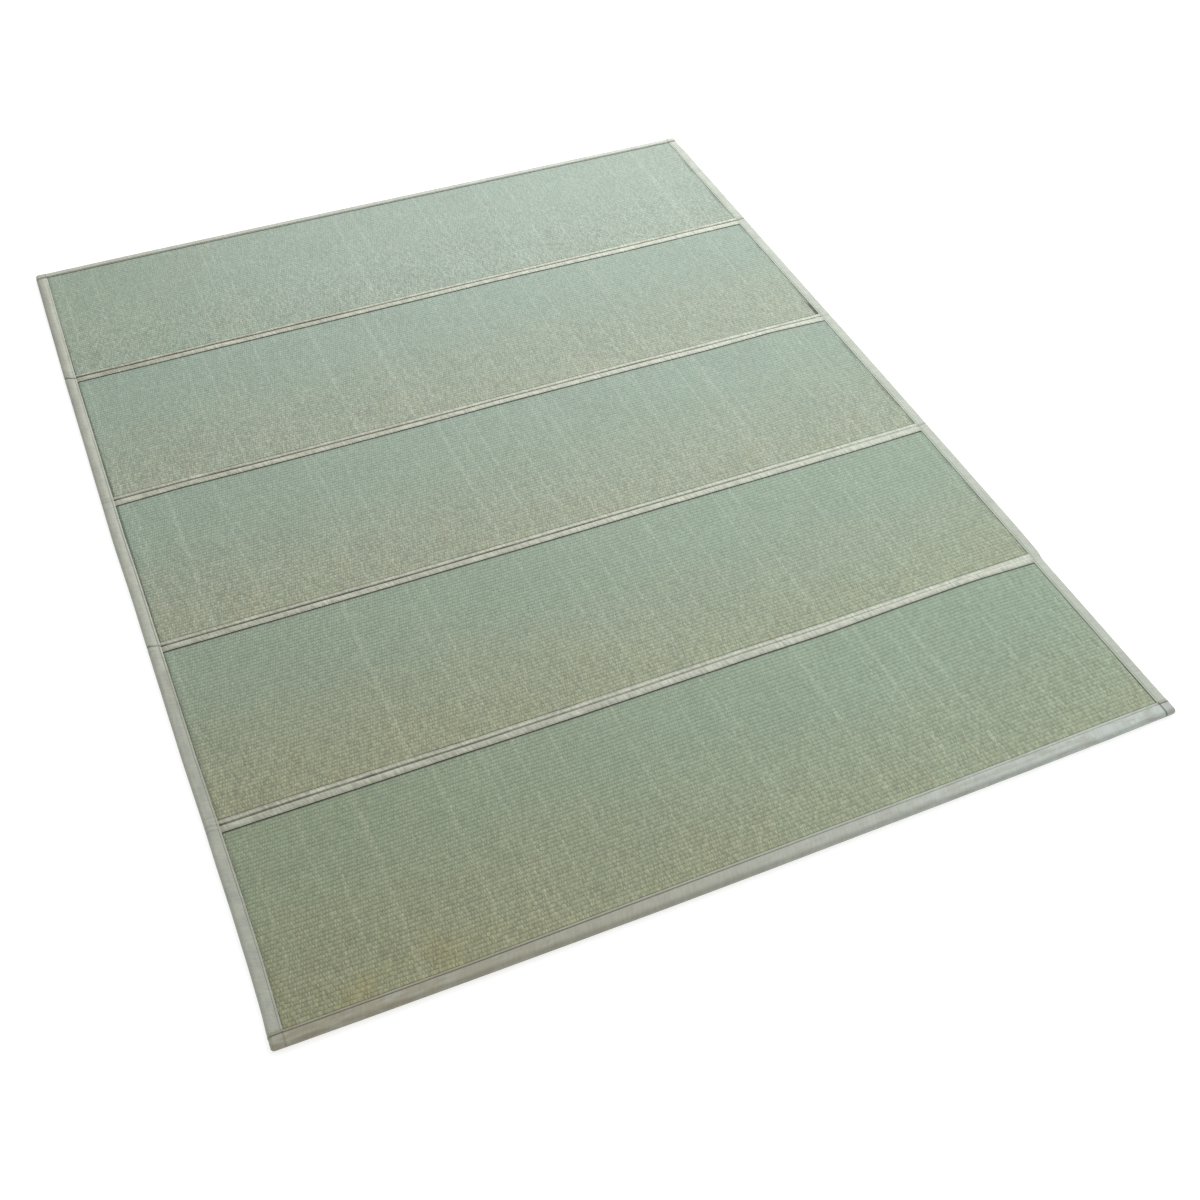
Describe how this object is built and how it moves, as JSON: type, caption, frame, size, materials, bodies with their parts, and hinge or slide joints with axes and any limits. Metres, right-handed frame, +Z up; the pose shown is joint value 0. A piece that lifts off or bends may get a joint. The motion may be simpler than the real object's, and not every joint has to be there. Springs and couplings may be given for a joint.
{
  "type": "folding tatami mat",
  "caption": "Folding tatami mat of padded rush weave panels, joined by cloth tapes and bound round the edges with cloth, lying open on a floor.",
  "frame": {"origin": "under the middle of the mat, on the surface that it lies on", "axes": "+X to the right across the panels, +Y from the front edge to the back edge, +Z up"},
  "size_m": [1.58, 2, 0.0146],
  "materials": {
    "rush": "matt woven rush, green to straw coloured",
    "tape_cloth": "smooth twill, slightly satin",
    "binding_cloth": "smooth twill, slightly satin"
  },
  "bodies": {
    "root": {"rush_panel_1": "rush", "rush_panel_2": "rush", "rush_panel_3": "rush", "rush_panel_4": "rush", "rush_panel_5": "rush", "seam_tape_1": "tape_cloth", "seam_tape_2": "tape_cloth", "seam_tape_3": "tape_cloth", "seam_tape_4": "tape_cloth", "side_binding_left": "binding_cloth", "side_binding_right": "binding_cloth", "end_binding_back": "binding_cloth", "end_binding_front": "binding_cloth"}
  },
  "joints": []
}
